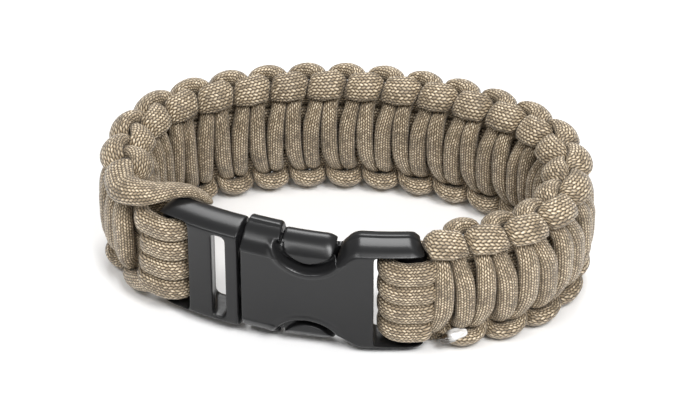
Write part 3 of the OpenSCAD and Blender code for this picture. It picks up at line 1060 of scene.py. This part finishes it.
class BRACELET_OT_stage(bpy.types.Operator):
    """Add the floor, the lights and the camera"""

    bl_idname = "bracelet.stage"
    bl_label = "Studio"

    def execute(self, context):
        scene = context.scene
        sizes = scene.bracelet_stage
        a, e = sizes.azimuth, sizes.elevation
        back = Vector((math.sin(a) * math.cos(e), -math.cos(a) * math.cos(e), math.sin(e)))
        data = bpy.data.cameras.new("camera")
        data.lens = sizes.lens
        data.sensor_fit = "HORIZONTAL"
        data.sensor_width = SENSOR_WIDTH
        data.clip_start = 10 * MM
        camera = bpy.data.objects.new("camera", data)
        camera.location = Vector(sizes.aim) + back * sizes.distance
        camera.rotation_euler = (-back).to_track_quat("-Z", "Y").to_euler()
        scene.collection.objects.link(camera)
        scene.camera = camera
        scene.view_settings.view_transform = "Standard"
        corners = FLOOR_HALF * np.array([[-1, -1, 0], [1, -1, 0], [1, 1, 0], [-1, 1, 0]], float)
        floor = mesh_object("floor", corners, [[0, 1, 2, 3]],
                            floor_material("floor", scene.bracelet_colours))
        world = scene.world or bpy.data.worlds.new("studio")
        scene.world = world
        world.use_nodes = True
        background = world.node_tree.nodes["Background"]
        background.inputs["Color"].default_value = (1, 1, 1, 1)
        background.inputs["Strength"].default_value = sizes.surround
        for name, place, width, height, power in LIGHTS:
            light = bpy.data.lights.new(name, "AREA")
            light.shape = "RECTANGLE"
            light.size = width
            light.size_y = height
            light.energy = power
            lamp = bpy.data.objects.new(name, light)
            lamp.location = place
            lamp.rotation_euler = (-Vector(place)).to_track_quat("-Z", "Y").to_euler()
            scene.collection.objects.link(lamp)
        return {"FINISHED"}


class BRACELET_OT_knotting_cords(bpy.types.Operator):
    """Add the two knotting cords of the band"""

    bl_idname = "bracelet.knotting_cords"
    bl_label = "Knotting cords"

    def execute(self, context):
        scene = context.scene
        material = braid_material("braided_cord", scene.bracelet_cord, scene.bracelet_colours)
        for name, flip, ends in (
                ("outer_knotting_cord", 1, OUTER_ENDS),
                ("inner_knotting_cord", -1, INNER_ENDS)):
            piece = knotting_cord(name, flip, *ends, material)
            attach(piece, BODY)
            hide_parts("woven_band")
        return {"FINISHED"}


class BRACELET_OT_loose_end(bpy.types.Operator):
    """Add the loose end and the turning strand beside the plug"""

    bl_idname = "bracelet.loose_end"
    bl_label = "Loose end"

    def execute(self, context):
        scene = context.scene
        material = braid_material("braided_tail", scene.bracelet_cord, scene.bracelet_colours)
        for name, table in (("loose_end_cord", TAIL), ("turning_cord", TURN)):
            piece = short_cord(name, table, material)
            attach(piece, BODY)
            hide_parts("woven_band")
        return {"FINISHED"}


class BRACELET_OT_core_strands(bpy.types.Operator):
    """Add the core strands, in the band and round the buckle's end bars"""

    bl_idname = "bracelet.core_strands"
    bl_label = "Core strands"

    def execute(self, context):
        scene = context.scene
        sizes = scene.bracelet_cord
        material = braid_material("braided_core", sizes, scene.bracelet_colours)
        for place, bar, way, step, tucks in (
                ("socket", SOCKET_BAR, 1, sizes.socket_step, SOCKET_TUCKS),
                ("plug", PLUG_BAR, -1, sizes.plug_step, PLUG_TUCKS)):
            for i, row in enumerate(CORE_ROWS):
                node = "core_loop_%s_%d" % (place, i + 1)
                piece = core_loop(node + "_strand", bar, way, row * step, tucks[i] * MM,
                                  scene.bracelet_buckle, material)
                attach(piece, BODY)
                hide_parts(node)
        for i, row in enumerate(CORE_ROWS):
            piece = core_strand("core_strand_%d" % (i + 1), row * sizes.core_step, sizes, material)
            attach(piece, BODY)
            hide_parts("woven_band")
        return {"FINISHED"}


class BRACELET_OT_melted_end(bpy.types.Operator):
    """Add the melted end of the knotting cord"""

    bl_idname = "bracelet.melted_end"
    bl_label = "Melted end"

    def execute(self, context):
        material = melt_material("melted_cord", context.scene.bracelet_colours)
        piece = melted_lump("melted_lump", context.scene.bracelet_cord, material)
        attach(piece, BODY)
        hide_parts("melted_end")
        return {"FINISHED"}


class BRACELET_OT_buckle(bpy.types.Operator):
    """Finish the two halves of the buckle"""

    bl_idname = "bracelet.buckle"
    bl_label = "Buckle"

    def execute(self, context):
        scene = context.scene
        material = plastic_material("satin_plastic", scene.bracelet_colours)
        for node, shape in (("buckle_socket", shape_socket), ("buckle_plug", shape_plug)):
            piece = moulding(node, shape, scene.bracelet_buckle, material)
            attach(piece, BODY)
            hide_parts(node)
        return {"FINISHED"}


class BRACELET_PT_panel(bpy.types.Panel):
    """Lists the pieces of the bracelet"""

    bl_idname = "BRACELET_PT_panel"
    bl_label = "Paracord bracelet"
    bl_space_type = "VIEW_3D"
    bl_region_type = "UI"
    bl_category = "Bracelet"

    def draw(self, context):
        for operator in OPERATORS:
            self.layout.operator(operator.bl_idname)


GROUPS = {
    "bracelet_cord": CordSizes,
    "bracelet_buckle": BuckleSizes,
    "bracelet_stage": StageSizes,
    "bracelet_colours": Colours,
}
OPERATORS = (
    BRACELET_OT_stage,
    BRACELET_OT_knotting_cords,
    BRACELET_OT_loose_end,
    BRACELET_OT_core_strands,
    BRACELET_OT_melted_end,
    BRACELET_OT_buckle,
)


def register():
    """Registers the classes and puts the groups of sizes on the scene."""
    for cls in (*GROUPS.values(), *OPERATORS, BRACELET_PT_panel):
        bpy.utils.register_class(cls)
    for name, cls in GROUPS.items():
        setattr(bpy.types.Scene, name, PointerProperty(type=cls))


def unregister():
    """Takes the groups and the classes away again."""
    for name in GROUPS:
        delattr(bpy.types.Scene, name)
    for cls in (BRACELET_PT_panel, *reversed(OPERATORS), *reversed(GROUPS.values())):
        bpy.utils.unregister_class(cls)


def main():
    """Builds the bracelet."""
    register()
    bpy.ops.bracelet.stage()
    bpy.ops.bracelet.knotting_cords()
    bpy.ops.bracelet.loose_end()
    bpy.ops.bracelet.core_strands()
    bpy.ops.bracelet.melted_end()
    bpy.ops.bracelet.buckle()


if __name__ == "__main__":
    main()
